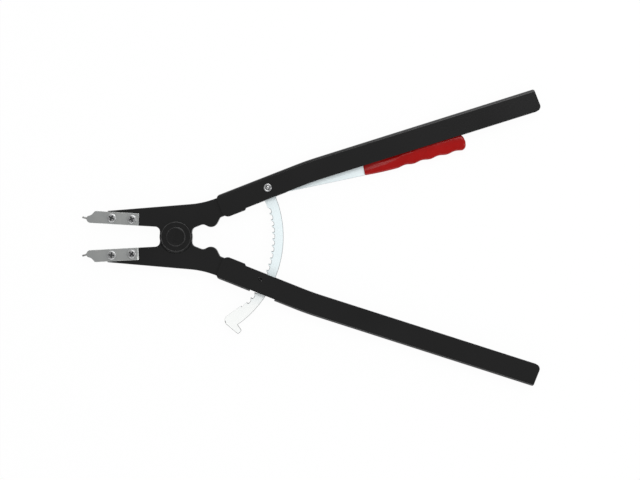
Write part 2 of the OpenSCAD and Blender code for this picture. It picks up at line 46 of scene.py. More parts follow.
HANDLE_W = JAW_T + 2 * SHEET_T
MID = HANDLE_W / 2
LUG_R = 20.2
NECK_HALF = 19.8
JAW_INNER = 11.9
JAW_OUTER = 38.6
JAW_TAPER = 4.8
JAW_REACH = 86.0
JAW_RIM = 0.9
LAP_CLEAR = 0.4
FACE_GAP = 0.1
PIVOT_R = 7.0
WASHER_T = 1.2
TANG_FRONT = 4.4
TANG_LEN = 27.5
TANG_DROP = 2.8
TANG_LIFT = 0.5

# Handles: the angle and offset of the first run, and the two runs with the turn between them
HANDLE_ANGLE = 21.5
HANDLE_OFF = 15.3
HANDLE_H = 27.1
HANDLE_FRONT = 63.5
FRONT_SLOPE = 4.5
FRONT_EDGE = 0.6
FOLD_R = 3.6
TURN_S = HANDLE_FRONT + 118.0
RUN_2 = 292.5
HANDLE_TURN = 3.9
TURN_R = 400.0
SPINE_T = HANDLE_OFF + HANDLE_H / 2
EDGE_T = HANDLE_OFF - HANDLE_H / 2
EAR_LEN = 27.0
EAR_DROP = 2.1
END_SLANT = 4.0
SLOT_FROM = 108.3
SLOT_TO = 140.8
SHEET_EDGE = 0.6
FRONT_SPARE = 4.0
END_SPARE = 10.0

# Tip plates in their own frame: u runs from the rear end to the nose, v across from the inner edge
TIP_REAR = JAW_REACH - 40.0
TIP_SPLAY = 3.2
TIP_Y = JAW_INNER + (TIP_REAR - NECK_HALF) * math.tan(math.radians(TIP_SPLAY))
TIP_LEN = 64.0
TIP_W = 15.1
TIP_T = 5.5
TIP_RIM = 0.35
SEAT_GAP = 0.4
SCREW_HOLE_R = 3.15
SCREW_US = {"rear": 8.5, "front": 33.2}
PIN_V = 5.4
PIN_SPLAY = 11.0

# Ratchet: teeth round the main pivot, lever pivot in the upper handle, catch pin in the lower one
PLATE_T = 4.0
TOOTH_R = 118.0
BAR_W = 13.7
BAR_OUT = TOOTH_R + BAR_W
FIRST_TOOTH = -4
TEETH = 16
TOOTH_DEPTH = 2.8
TOOTH_PITCH = 3.8
TOOTH_LAND = 0.8
TOOTH_LEAN = 10.0
TOOTH_TIP_R = 0.3
TOOTH_CLEAR = 0.3
TOOTH_SHIFT = 2.1
PAWL_D = 4.0
PAWL_CLEAR = 0.12
PAWL_ANGLE = 26.5
PAWL_R = TOOTH_R - TOOTH_CLEAR - PAWL_D / 2
TOOTH_PHASE = -PAWL_ANGLE - math.degrees(math.atan(TOOTH_SHIFT / TOOTH_R))
FOOT_ANGLE = 54.9
ARM_ANGLE = 12.1
ARM_LOW = 9.7
ARM_GAP = 0.3
HUB_R = 9.8
LEVER_S = 126.7
LEVER_T = 15.0
GRIP_FROM = 120.0
GRIP_LEN = 129.9
GRIP_H = 20.6
GRIP_T = 9.0
GRIP_TURN = 3.5
GRIP_RISE = 2.2
GRIP_LOW = ARM_LOW + GRIP_RISE
GRIP_LEAD = 40.5
GRIP_LEAN = 1.3
GRIP_TOE = 4.9
GRIP_CORNER = 1.6
GRIP_END = 1.76 * GRIP_TOE
GRIP_EDGE_R = 1.2
GRIP_NOSE_R = 4.0
GRIP_POINT = 9.5
GRIP_BACK = 1.7
GRIP_WALL = 2.8
GROOVES = 4
GROOVE_D = 1.45
SHOULDER_V = 1.7
SHOULDER_CLIMB = 0.18
SHOULDER_W = 8.0
SHOULDER_D = 1.75

# Largest distance between an arc and the straight steps that stand for it
CHORD = 0.004


# Geometry helpers

def turned(points, degrees):
    """Rows of x, y turned about the origin: each row times the rotation matrix of that angle."""
    a = math.radians(degrees)
    turn = np.array([[math.cos(a), math.sin(a)], [-math.sin(a), math.cos(a)]])
    return np.asarray(points, float) @ turn


def at_handle(points):
    """Points given along and across the upper handle's first run, in the tool's frame."""
    return turned(points, HANDLE_ANGLE)


def at_tip(points):
    """Points along and across the upper tip plate, turned by its splay and faced towards -X."""
    p = turned(points, TIP_SPLAY) * [-1, 1]
    return p + [-TIP_REAR, TIP_Y]


LEVER_AT = at_handle([[LEVER_S, LEVER_T]])[0]


def at_arm(points):
    """Points given along and across the lever arm from its rivet, in the tool's frame."""
    return turned(points, ARM_ANGLE) + LEVER_AT


def at_grip(points):
    """Points given along and across the grip from its lower inner corner, in the tool's frame."""
    return at_arm(turned(points, GRIP_TURN) + [GRIP_FROM, -GRIP_LOW])


def circle_points(radius, start, stop, count, centre=(0, 0)):
    """Points on a circle from one angle to another, in degrees."""
    a = np.radians(np.linspace(start, stop, count))
    return np.stack([np.cos(a), np.sin(a)], 1) * radius + centre


def whole_circle(radius, count, centre=(0, 0)):
    """Points at equal steps round a whole circle."""
    return circle_points(radius, 0, 360 - 360 / count, count, centre)


def outline(corners):
    """Closed outline from rows of x, y, radius: each corner is the arc that touches both its sides."""
    c = np.asarray(corners, float)
    runs = []
    for before, here, after in zip(np.roll(c, 1, 0), c, np.roll(c, -1, 0)):
        p = here[:2]
        radius = here[2]
        if radius == 0:
            runs.append(p[None])
            continue
        u = (before[:2] - p) / np.linalg.norm(before[:2] - p)
        v = (after[:2] - p) / np.linalg.norm(after[:2] - p)
        half = math.acos(float(np.clip(u @ v, -1, 1))) / 2
        middle = p + (u + v) / np.linalg.norm(u + v) * radius / math.sin(half)
        first = p + u * radius / math.tan(half) - middle
        turn = math.copysign(math.pi - 2 * half, -(u[0] * v[1] - u[1] * v[0]))
        steps = max(3, math.ceil(abs(turn) / (2 * math.acos(1 - min(1, CHORD / radius)))))
        a = turn * np.arange(steps + 1)[:, None] / steps
        square = np.array([-first[1], first[0]])
        runs.append(middle + np.cos(a) * first + np.sin(a) * square)
    return anticlockwise(np.concatenate(runs))


def anticlockwise(points):
    """The same closed outline, turned round if its signed area is negative."""
    x, y = points.T
    area = np.sum(x * np.roll(y, -1) - y * np.roll(x, -1))
    return points if area > 0 else points[::-1]


def grid_quads(rows, cols):
    """Quads of a grid of rows by cols vertices, joined round each row."""
    i, j = np.meshgrid(np.arange(rows - 1), np.arange(cols), indexing="ij")
    k = (j + 1) % cols
    corners = [i * cols + j, i * cols + k, (i + 1) * cols + k, (i + 1) * cols + j]
    return np.stack(corners, -1).reshape(-1, 4)


def loft(sections):
    """Skin over rows of closed sections, with a flat face at each end."""
    rows, cols = sections.shape[:2]
    last = (rows - 1) * cols
    faces = grid_quads(rows, cols).tolist() + [list(range(cols))[::-1], list(range(last, last + cols))]
    return sections.reshape(-1, 3), faces, np.zeros(rows * cols)


def plate(points, low, high, rim, steps=4, edge_shade=None):
    """Flat plate with rounded rims: the outline moves in by rim (1 - sin a) and climbs by rim (1 - cos a).

    The mask for rubbed places and painted light is sin 2a on the rims, for rubbed rims, or, on cut walls
    given a share, the root of sin a times each point's share, for painted shade there.
    """
    mitre_floor = 0.35
    n = len(points)
    rim = np.broadcast_to(rim, n)
    edge = np.roll(points, -1, 0) - points
    edge = edge / np.linalg.norm(edge, axis=1, keepdims=True)
    out = np.stack([edge[:, 1], -edge[:, 0]], 1)
    before = np.roll(out, 1, 0)
    mitre = (out + before) / np.maximum(1 + np.sum(out * before, 1, keepdims=True), mitre_floor)
    a = np.linspace(0, math.pi / 2, steps + 1)
    inset = (1 - np.sin(a))[:, None] * rim
    lift = (1 - np.cos(a))[:, None] * rim
    inset = np.concatenate([inset, inset[::-1]])
    z = np.concatenate([low + lift, (high - lift)[::-1]])
    flat = points[None] - mitre[None] * inset[..., None]
    verts, faces = loft(np.concatenate([flat, z[..., None]], 2))[:2]
    both = np.concatenate([a, a[::-1]])[:, None]
    if edge_shade is None:
        wear_and_painted_light = np.repeat(np.sin(2 * both), n)
    else:
        wear_and_painted_light = (np.sqrt(np.sin(both)) * edge_shade).ravel()
    return verts, faces, wear_and_painted_light


def spun(rows, steps):
    """Rows of radius, height carried about the axis: radius times cosine and sine, then height."""
    a = np.linspace(0, 2 * math.pi, steps, endpoint=False)
    height = np.repeat(rows[:, 1:2], steps, 1)
    return np.stack([rows[:, :1] * np.cos(a), rows[:, :1] * np.sin(a), height], -1).reshape(-1, 3)


def lathe(profile, steps=96):
    """Turned solid: rows of radius, height and a mask value for rubbed places and painted light, spun
    about the axis and closed by a fan at each end.
    """
    p = np.asarray([[*row, 0][:3] for row in profile], float)
    ring = p[1:-1]
    verts = np.concatenate([spun(ring, steps), [[0, 0, p[0, 1]], [0, 0, p[-1, 1]]]])
    j = np.arange(steps)
    k = (j + 1) % steps
    top = (len(ring) - 1) * steps
    foot = np.stack([k, j, np.full(steps, len(verts) - 2)], 1)
    head = np.stack([top + j, top + k, np.full(steps, len(verts) - 1)], 1)
    faces = grid_quads(len(ring), steps).tolist() + foot.tolist() + head.tolist()
    wear_and_painted_light = np.concatenate([np.repeat(ring[:, 2], steps), p[[0, -1], 2]])
    return verts, faces, wear_and_painted_light


def lathe_ring(profile, steps):
    """Turned ring: a closed loop of rows of radius, height and a mask value for rubbed places and painted
    light, spun about the axis.
    """
    p = np.asarray(profile, float)
    count = len(p) * steps
    faces = grid_quads(len(p) + 1, steps) % count
    return spun(p, steps), faces.tolist(), np.repeat(p[:, 2], steps)


def tube(path, radius, reference):
    """Round wire: a circle carried along the path, square to its tangent and started at the reference."""
    sides = 16
    tangent = np.gradient(path, axis=0)
    tangent = tangent / np.linalg.norm(tangent, axis=1, keepdims=True)
    side = np.cross(reference, tangent)
    side = side / np.linalg.norm(side, axis=1, keepdims=True)
    up = np.cross(tangent, side)
    a = np.linspace(0, 2 * math.pi, sides, endpoint=False)
    ring = side[:, None] * np.cos(a)[None, :, None] + up[:, None] * np.sin(a)[None, :, None]
    return loft(path[:, None] + ring * radius)


def moved(shape, shift):
    """The same shape shifted."""
    verts, faces, wear_and_painted_light = shape
    return verts + np.asarray(shift, float), faces, wear_and_painted_light


def as_made(shape):
    """The shape itself, for the upper half of the tool."""
    return shape


def mirrored(shape):
    """The same shape on the other side of the tool's middle line, with its faces turned back outwards."""
    verts, faces, wear_and_painted_light = shape
    return verts * [1, -1, 1], [list(f)[::-1] for f in faces], wear_and_painted_light


def turned_over(shape):
    """The same shape turned half round about the X axis."""
    verts, faces, wear_and_painted_light = shape
    return verts * [1, -1, -1], faces, wear_and_painted_light


# Putting pieces on the frame

def add_object(name, data):
    """Object at the origin with the given data, linked to the scene."""
    thing = bpy.data.objects.new(name, data)
    bpy.context.collection.objects.link(thing)
    return thing


def new_object(name, shape):
    """Mesh object at the origin from a shape in millimetres, with its mask of rubbed places and painted
    light as an attribute.
    """
    verts, faces, wear_and_painted_light = shape
    mesh = bpy.data.meshes.new(name)
    mesh.from_pydata((np.asarray(verts) * MM).tolist(), [], faces)
    mask = mesh.attributes.new("wear_and_painted_light", "FLOAT", "POINT")
    mask.data.foreach_set("value", np.asarray(wear_and_painted_light, np.float32))
    mesh.update()
    return add_object(name, mesh)


def carve(piece, shape, operation="DIFFERENCE"):
    """Cut a shape out of a piece, or keep only what lies inside it, and apply the cut to its mesh."""
    tool = new_object("tool", shape)
    cut = piece.modifiers.new("cut", "BOOLEAN")
    cut.operation = operation
    cut.solver = "EXACT"
    cut.object = tool
    bpy.context.view_layer.update()
    worked = piece.evaluated_get(bpy.context.evaluated_depsgraph_get())
    old = piece.data
    piece.modifiers.clear()
    piece.data = bpy.data.meshes.new_from_object(worked)
    bpy.data.meshes.remove(old)
    tool_mesh = tool.data
    bpy.data.objects.remove(tool)
    bpy.data.meshes.remove(tool_mesh)


def dress(piece, body, finish, nodes, sharp=32):
    """Shade a piece smooth up to the sharp angle, give it its finish, and let it stand for its nodes."""
    mesh = piece.data
    mesh.polygons.foreach_set("use_smooth", np.ones(len(mesh.polygons), bool))
    mesh.set_sharp_from_angle(angle=math.radians(sharp))
    mesh.materials.clear()
    mesh.materials.append(finishes[finish])
    even = piece.modifiers.new("even_shading", "WEIGHTED_NORMAL")
    even.keep_sharp = True
    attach(piece, body)
    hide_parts(*nodes)


def weld(piece, reach):
    """Merge points that lie closer than a small reach, so that cutting leaves no slivers."""
    merge = piece.modifiers.new("weld", "WELD")
    merge.merge_threshold = reach * MM


def soften(piece, width, angle):
    """Round the crisp edges that cutting left, with slivers merged before and after."""
    before = 0.03
    after = 0.005
    weld(piece, before)
    bevel = piece.modifiers.new("soft_edges", "BEVEL")
    bevel.width = width * MM
    bevel.segments = 2
    bevel.limit_method = "ANGLE"
    bevel.angle_limit = math.radians(angle)
    bevel.harden_normals = False
    weld(piece, after)


# Finishes

def new_group(name, inputs, output):
    """Empty shader group with named float inputs and one named float output."""
    group = bpy.data.node_groups.new(name, "ShaderNodeTree")
    for label, value in inputs.items():
        socket = group.interface.new_socket(label, in_out="INPUT", socket_type="NodeSocketFloat")
        socket.default_value = value
    group.interface.new_socket(output, in_out="OUTPUT", socket_type="NodeSocketFloat")
    return group, group.nodes.new("NodeGroupInput"), group.nodes.new("NodeGroupOutput")


def math_node(tree, operation):
    """Maths node with its operation set."""
    node = tree.nodes.new("ShaderNodeMath")
    node.operation = operation
    return node


def map_range(tree, low, high):
    """Map-range node that takes in values from low to high."""
    node = tree.nodes.new("ShaderNodeMapRange")
    node.inputs["From Min"].default_value = low
    node.inputs["From Max"].default_value = high
    return node


def spread_noise(group, source, vector, low, high):
    """Noise over a vector, its values from low to high spread between the group's Low and High."""
    noise = group.nodes.new("ShaderNodeTexNoise")
    spread = map_range(group, low, high)
    link = group.links.new
    link(vector, noise.inputs["Vector"])
    link(noise.outputs["Fac"], spread.inputs["Value"])
    link(source.outputs["Low"], spread.inputs["To Min"])
    link(source.outputs["High"], spread.inputs["To Max"])
    return noise, spread.outputs["Result"]


def mottle_group():
    """Soft unevenness: noise in object space, spread between Low and High."""
    group, source, sink = new_group("mottle", {"Scale": 60, "Detail": 3, "Low": 0, "High": 1}, "Value")
    place = group.nodes.new("ShaderNodeTexCoord")
    noise, value = spread_noise(group, source, place.outputs["Object"], low=0.3, high=0.7)
    link = group.links.new
    link(source.outputs["Scale"], noise.inputs["Scale"])
    link(source.outputs["Detail"], noise.inputs["Detail"])
    link(value, sink.inputs["Value"])
    return group


def strokes_group():
    """Grinding strokes: noise squeezed along one axis of the tool after a turn about Z."""
    inputs = {"Turn": 0, "Fine": 2500, "Long": 60, "Low": 0, "High": 1}
    group, source, sink = new_group("strokes", inputs, "Value")
    place = group.nodes.new("ShaderNodeTexCoord")
    turn = group.nodes.new("ShaderNodeVectorRotate")
    turn.rotation_type = "Z_AXIS"
    squeeze = group.nodes.new("ShaderNodeVectorMath")
    squeeze.operation = "MULTIPLY"
    scale = group.nodes.new("ShaderNodeCombineXYZ")
    noise, value = spread_noise(group, source, squeeze.outputs["Vector"], low=0.25, high=0.75)
    noise.inputs["Scale"].default_value = 1
    noise.inputs["Detail"].default_value = 2
    link = group.links.new
    link(place.outputs["Object"], turn.inputs["Vector"])
    link(source.outputs["Turn"], turn.inputs["Angle"])
    link(source.outputs["Long"], scale.inputs["X"])
    link(source.outputs["Fine"], scale.inputs["Y"])
    link(source.outputs["Fine"], scale.inputs["Z"])
    link(turn.outputs["Vector"], squeeze.inputs[0])
    link(scale.outputs["Vector"], squeeze.inputs[1])
    link(value, sink.inputs["Value"])
    return group


def wear_and_painted_light_group():
    """Rubbed places and painted light: the mesh's mask, broken up by noise that never falls below Solid.

    It marks rubbed rims, painted shade in recesses and on cut walls, and painted highlight on washer rims.
    """
    group, source, sink = new_group("rub_and_painted_light", {"Amount": 0.5, "Scale": 180, "Solid": 0}, "Mask")
    mask = group.nodes.new("ShaderNodeAttribute")
    mask.attribute_name = "wear_and_painted_light"
    place = group.nodes.new("ShaderNodeTexCoord")
    noise = group.nodes.new("ShaderNodeTexNoise")
    noise.inputs["Detail"].default_value = 4
    spread = map_range(group, low=0.42, high=0.66)
    least = math_node(group, "MAXIMUM")
    both = math_node(group, "MULTIPLY")
    part = math_node(group, "MULTIPLY")
    link = group.links.new
    link(place.outputs["Object"], noise.inputs["Vector"])
    link(source.outputs["Scale"], noise.inputs["Scale"])
    link(noise.outputs["Fac"], spread.inputs["Value"])
    link(mask.outputs["Fac"], both.inputs[0])
    link(spread.outputs["Result"], least.inputs[0])
    link(source.outputs["Solid"], least.inputs[1])
    link(least.outputs["Value"], both.inputs[1])
    link(both.outputs["Value"], part.inputs[0])
    link(source.outputs["Amount"], part.inputs[1])
    link(part.outputs["Value"], sink.inputs["Mask"])
    return group


MOTTLE = mottle_group()
STROKES = strokes_group()
WEAR_AND_PAINTED_LIGHT = wear_and_painted_light_group()


class Finish:
    """One material: a Principled shader fed by the shared groups."""

    def __init__(self, name, metallic, specular=0.5):
        self.material = bpy.data.materials.new(name)
        self.material.use_nodes = True
        self.nodes = self.material.node_tree.nodes
        self.link = self.material.node_tree.links.new
        self.shader = self.nodes["Principled BSDF"]
        self.shader.inputs["Metallic"].default_value = metallic
        self.shader.inputs["Specular IOR Level"].default_value = specular

    def effect(self, group, **values):
        """Place a shared group with this finish's own values, and give its output."""
        node = self.nodes.new("ShaderNodeGroup")
        node.node_tree = group
        for label, value in values.items():
            node.inputs[label].default_value = value
        return node.outputs[0]

    def ramp(self, axis, start, stop):
        """Mask that climbs from 0 to 1 between two places along an axis of the tool, in metres."""
        place = self.nodes.new("ShaderNodeTexCoord")
        part = self.nodes.new("ShaderNodeSeparateXYZ")
        climb = map_range(self.material.node_tree, start, stop)
        self.link(place.outputs["Object"], part.inputs["Vector"])
        self.link(part.outputs[axis], climb.inputs["Value"])
        return climb.outputs["Result"]

    def blend(self, mask, low, high):
        """Colour between two colours, or between a socket and a colour, by a mask."""
        mix = self.nodes.new("ShaderNodeMix")
        mix.data_type = "RGBA"
        self.link(mask, mix.inputs["Factor"])
        for socket, value in ((mix.inputs[6], low), (mix.inputs[7], high)):
            if isinstance(value, bpy.types.NodeSocket):
                self.link(value, socket)
            else:
                socket.default_value = (*value, 1)
        return mix.outputs[2]

    def paint(self, colour, rough):
        """Feed the base colour and the roughness."""
        self.link(colour, self.shader.inputs["Base Color"])
        self.link(rough, self.shader.inputs["Roughness"])

    def relief(self, height, strength, depth):
        """Small surface relief, depth in millimetres."""
        bump = self.nodes.new("ShaderNodeBump")
        bump.inputs["Strength"].default_value = strength
        bump.inputs["Distance"].default_value = depth * MM
        self.link(height, bump.inputs["Height"])
        self.link(bump.outputs["Normal"], self.shader.inputs["Normal"])


def black_coat():
    """Satin black coating with a fine orange peel, a little greyer where rims are rubbed."""
    f = Finish("black_coat", metallic=0.0)
    tone = f.blend(f.effect(MOTTLE, Scale=14, Detail=2),
                   (0.0058, 0.0058, 0.0059), (0.0074, 0.0074, 0.0076))
    f.paint(f.blend(f.effect(WEAR_AND_PAINTED_LIGHT, Amount=0.35, Scale=140), tone, (0.05, 0.05, 0.051)),
            f.effect(MOTTLE, Scale=20, Detail=1, Low=0.22, High=0.25))
    f.relief(f.effect(MOTTLE, Scale=1600, Detail=2), strength=0.06, depth=0.03)
    return f.material


def black_pivot():
    """Black oxide on the turned pivot pieces, smoother than the coating, lighter on the washer rims:
    partly rubbed oxide, partly a painted highlight.
    """
    f = Finish("black_pivot", metallic=0.0)
    tone = f.blend(f.effect(MOTTLE, Scale=120, Detail=3),
                   (0.0035, 0.0035, 0.0037), (0.0060, 0.0060, 0.0062))
    # Lighter grey where the mesh's mask is set, on the washer rims: partly rubbed oxide, partly a painted
    # highlight.
    f.paint(f.blend(f.effect(WEAR_AND_PAINTED_LIGHT, Amount=0.6, Scale=260, Solid=0.4), tone, (0.09, 0.09, 0.09)),
            f.effect(MOTTLE, Scale=300, Detail=2, Low=0.24, High=0.30))
    f.relief(f.effect(MOTTLE, Scale=1600, Detail=2), strength=0.08, depth=0.03)
    return f.material


def tip_steel():
    """Ground grey steel with strokes across the plate."""
    f = Finish("tip_steel", metallic=1.0)
    strokes = f.effect(STROKES, Turn=1.45, Fine=1500, Long=70)
    tone = f.blend(strokes, (0.615, 0.635, 0.63), (0.66, 0.68, 0.675))
    tone = f.blend(f.effect(MOTTLE, Scale=90, Detail=2, Low=0, High=0.6), tone, (0.73, 0.74, 0.72))
    f.paint(f.blend(f.effect(WEAR_AND_PAINTED_LIGHT, Amount=0.6, Scale=220), tone, (0.77, 0.78, 0.78)),
            f.effect(MOTTLE, Scale=70, Detail=2, Low=0.42, High=0.46))
    f.relief(strokes, strength=0.05, depth=0.02)
    return f.material


def hard_steel():
    """Hardened steel of the pins and the spring, faintly drawn."""
    f = Finish("hard_steel", metallic=1.0)
    f.paint(f.blend(f.effect(MOTTLE, Scale=400, Detail=2), (0.34, 0.34, 0.34), (0.44, 0.44, 0.43)),
            f.effect(MOTTLE, Scale=500, Detail=2, Low=0.46, High=0.54))
    return f.material


def bright_fasteners():
    """Bright nickel on screws and the lever rivet, with a near black painted shade down in the recesses.
    """
    f = Finish("bright_fasteners", metallic=1.0)
    tone = f.blend(f.effect(MOTTLE, Scale=500, Detail=2), (0.60, 0.605, 0.61), (0.68, 0.685, 0.69))
    # Painted shade: near black where the mesh's mask marks the cross recesses and the rivet's groove.
    f.paint(f.blend(f.effect(WEAR_AND_PAINTED_LIGHT, Amount=0.92, Scale=400, Solid=0.85), tone, (0.05, 0.052, 0.054)),
            f.effect(MOTTLE, Scale=800, Detail=2, Low=0.33, High=0.39))
    return f.material


def zinc_plate():
    """Pale bluish zinc on stamped sheet with faint strokes, with painted light that makes it almost white
    at the foot and painted shade on its edges.
    """
    f = Finish("zinc_plate", metallic=0.12)
    strokes = f.effect(STROKES, Turn=0.6, Fine=1300, Long=45)
    tone = f.blend(strokes, (0.83, 0.925, 0.945), (0.88, 0.955, 0.97))
    tone = f.blend(f.effect(MOTTLE, Scale=28, Detail=4, Low=0, High=0.35), tone, (0.80, 0.90, 0.935))
    # Painted light: the tone climbs to almost white towards the foot.
    foot = f.ramp("Y", -0.055, -0.085)
    tone = f.blend(foot, tone, (0.97, 0.985, 0.975))
    # Painted shade: near black on the cut walls where the mesh's mask is set, for the dark outline and the
    # marks in the tooth gaps.
    f.paint(f.blend(f.effect(WEAR_AND_PAINTED_LIGHT, Amount=1, Scale=300, Solid=0.9), tone, (0.03, 0.032, 0.034)),
            f.effect(MOTTLE, Scale=60, Detail=3, Low=0.36, High=0.48))
    f.relief(strokes, strength=0.06, depth=0.02)
    return f.material


def red_plastic():
    """Moulded red plastic with a fine spark texture."""
    f = Finish("red_plastic", metallic=0.0, specular=0.27)
    tone = f.blend(f.effect(MOTTLE, Scale=45, Detail=3),
                   (0.285, 0.0018, 0.0013), (0.325, 0.0030, 0.0024))
    f.paint(tone, f.effect(MOTTLE, Scale=200, Detail=3, Low=0.20, High=0.26))
    f.relief(f.effect(MOTTLE, Scale=1500, Detail=2), strength=0.10, depth=0.04)
    return f.material


finishes = {make.__name__: make() for make in
            (black_coat, black_pivot, tip_steel, hard_steel, bright_fasteners, zinc_plate, red_plastic)}


# Jaws

def jaw_outline():
    """Upper jaw seen from above: nose, long outer edge, tang, closing stop, neck and round pivot lug."""
    slope = math.tan(math.radians(JAW_TAPER))
    run = math.tan(math.radians(HANDLE_ANGLE))
    tang_top = SPINE_T - TANG_DROP
    tang_low = EDGE_T + TANG_LIFT
    rise = tang_top / math.cos(math.radians(HANDLE_ANGLE))
    sweep_x = (JAW_OUTER - rise) / (run - slope)
    tang_end = HANDLE_FRONT + TANG_LEN
    tang = at_handle([[tang_end, tang_top], [tang_end, tang_low], [HANDLE_FRONT - TANG_FRONT, tang_low]])
    lean = math.degrees(math.acos(NECK_HALF / LUG_R))
    lug = circle_points(LUG_R, lean, -180 - lean, 90)
    nose_in = TIP_Y + (JAW_REACH - TIP_REAR) * math.tan(math.radians(TIP_SPLAY))
    outer_edge = [[-JAW_REACH, JAW_OUTER - JAW_REACH * slope, 4], [sweep_x, rise + sweep_x * run, 112]]
    stop = [[46.7, 9, 9], [33.4, 15.6, 7], [NECK_HALF, JAW_INNER - 1.6, 6]]
    inner_edge = [[-NECK_HALF, JAW_INNER, 6], [-JAW_REACH, nose_in, 4]]
    tang_rows = [[*p, radius] for p, radius in zip(tang, (2, 2, 3))]
    lug_rows = [[*p, 0] for p in lug]
    return outline(outer_edge + tang_rows + stop + lug_rows + inner_edge)


def block(points, low, high):
    """Straight prism over an outline, for cutting."""
    return plate(anticlockwise(np.asarray(points, float)), low, high, rim=0.0, steps=1)


def jaw_piece(name, flip):
    """Forged jaw: a plate with rounded rims, half cut away round the lug, and the tip's seat milled."""
    side = mirrored if flip else as_made
    forging = plate(jaw_outline(), MID - JAW_T / 2, MID + JAW_T / 2, JAW_RIM, steps=5)
    jaw = new_object(name, side(forging))
    lap = whole_circle(LUG_R + LAP_CLEAR, 120)
    lap_low = MID - FACE_GAP if flip else MID - JAW_T
    lap_high = MID + JAW_T if flip else MID + FACE_GAP
    carve(jaw, side(block(lap, lap_low, lap_high)))
    past_nose = 2 * TIP_LEN
    edge = TIP_W + SEAT_GAP
    seat = at_tip([[-SEAT_GAP, -TIP_W], [past_nose, -TIP_W], [past_nose, edge], [-SEAT_GAP, edge]])
    carve(jaw, side(block(seat, MID, MID + JAW_T)))
    for u in SCREW_US.values():
        hole = whole_circle(SCREW_HOLE_R, 48, at_tip([[u, TIP_W / 2]])[0])
        carve(jaw, side(block(hole, MID - JAW_T, MID + JAW_T)))
    return jaw


for name, flip, body in (("upper_jaw", False, "upper_lever"), ("lower_jaw", True, "lower_lever")):
    dress(jaw_piece("forged_" + name, flip), body, "black_coat", [name])


# Handles

def channel_section():
    """Folded sheet: closed loop, x out from the centre line, y across, with round folds inside and out."""
    spare = 5
    out = HANDLE_H / 2
    low = -out - spare
    half = HANDLE_W / 2
    bed = JAW_T / 2
    web = out - SHEET_T
    inner = FOLD_R - SHEET_T
    return outline([[low, -half, 0], [out, -half, FOLD_R], [out, half, FOLD_R], [low, half, 0],
                    [low, bed, 0], [web, bed, inner], [web, -bed, inner], [low, -bed, 0]])


def handle_sweep():
    """The section carried along the handle: straight, round the wide turn, and straight on."""
    tangent = TURN_R * math.tan(math.radians(HANDLE_TURN / 2))
    a = np.radians(np.linspace(0, HANDLE_TURN, 13))
    start = np.array([TURN_S - tangent, HANDLE_OFF])
    bend = start + TURN_R * np.stack([np.sin(a), np.cos(a) - 1], 1)
    heading = np.concatenate([[0], -a, [-a[-1]]])
    ahead = np.array([math.cos(a[-1]), -math.sin(a[-1])])
    front = [HANDLE_FRONT - FRONT_SPARE, HANDLE_OFF]
    path = np.concatenate([[front], bend, [bend[-1] + ahead * (RUN_2 + END_SPARE)]])
    normal = np.stack([-np.sin(heading), np.cos(heading)], 1)
    section = channel_section()
    flat = path[:, None] + normal[:, None] * section[None, :, :1]
    flat = at_handle(flat.reshape(-1, 2)).reshape(flat.shape)
    z = np.broadcast_to(section[None, :, 1:] + MID, flat.shape[:2] + (1,))
    return loft(np.concatenate([flat, z], 2)[:, ::-1])


def beside_run_2(x, y):
    """Point past the turn, x along the second run and y out from its line, in the handle's frame."""
    c = math.cos(math.radians(HANDLE_TURN))
    s = math.sin(math.radians(HANDLE_TURN))
    return [TURN_S + x * c + y * s, HANDLE_OFF - x * s + y * c]


def handle_trim():
    """Side outline of a handle: round front corners, ears over the tang, wide turn and slanted end."""
    clear = 0.03
    top = HANDLE_H / 2 + clear
    low = -HANDLE_H / 2
    half_turn = math.tan(math.radians(HANDLE_TURN / 2))
    slant = HANDLE_H * math.tan(math.radians(END_SLANT))
    ear_end = HANDLE_FRONT + EAR_LEN
    ear_edge = EDGE_T - EAR_DROP
    corners = np.array([
        [HANDLE_FRONT, SPINE_T + clear, 5.5],
        [TURN_S + top * half_turn, HANDLE_OFF + top, TURN_R + top],
        [*beside_run_2(RUN_2, top), 2.5],
        [*beside_run_2(RUN_2 + slant, low), 6],
        [TURN_S + low * half_turn, HANDLE_OFF + low, TURN_R + low],
        [ear_end + EAR_DROP, EDGE_T, 1.5],
        [ear_end, ear_edge, 1.5],
        [HANDLE_FRONT, ear_edge, 7]])
    return at_handle(outline(corners))


def front_hollow(face):
    """Cutter that thins one side of the sheet at the front: what it leaves grows by a quarter sine."""
    lift = 0.01
    past = 3
    front = HANDLE_FRONT - FRONT_SPARE
    a = np.linspace(0, math.pi / 2, 9)
    s = np.concatenate([[front], HANDLE_FRONT + FRONT_SLOPE * a / a[-1], [front]])
    rise = FRONT_EDGE + (SHEET_T - FRONT_EDGE) * np.sin(a)
    z = MID + face * (JAW_T / 2 + np.concatenate([[FRONT_EDGE], rise + lift, [SHEET_T + past]]))
    rows = [np.concatenate([at_handle(np.stack([s, np.full(len(s), t)], 1)), z[:, None]], 1)
            for t in (EDGE_T - HANDLE_H, SPINE_T + HANDLE_H)]
    return loft(np.stack(rows[::int(face)]))


def handle_piece(name, flip):
    """Pressed handle: the swept channel trimmed to its side outline, the lower one slotted and drilled."""
    side = mirrored if flip else as_made
    handle = new_object(name, side(handle_sweep()))
    carve(handle, side(block(handle_trim(), -HANDLE_W, 2 * HANDLE_W)), "INTERSECT")
    for face in (1, -1):
        carve(handle, side(front_hollow(face)))
    if flip:
        bed = SPINE_T - SHEET_T
        above = bed + HANDLE_H
        slot = at_handle([[SLOT_FROM, bed], [SLOT_TO, bed], [SLOT_TO, above], [SLOT_FROM, above]])
        carve(handle, side(block(slot, -HANDLE_W, 2 * HANDLE_W)))
    soften(handle, SHEET_EDGE, angle=50)
    if flip:
        hole = whole_circle(PAWL_D / 2 + PAWL_CLEAR, 48, turned([[PAWL_R, 0]], PAWL_ANGLE)[0])
        carve(handle, side(block(hole, -HANDLE_W, 2 * HANDLE_W)))
    return handle


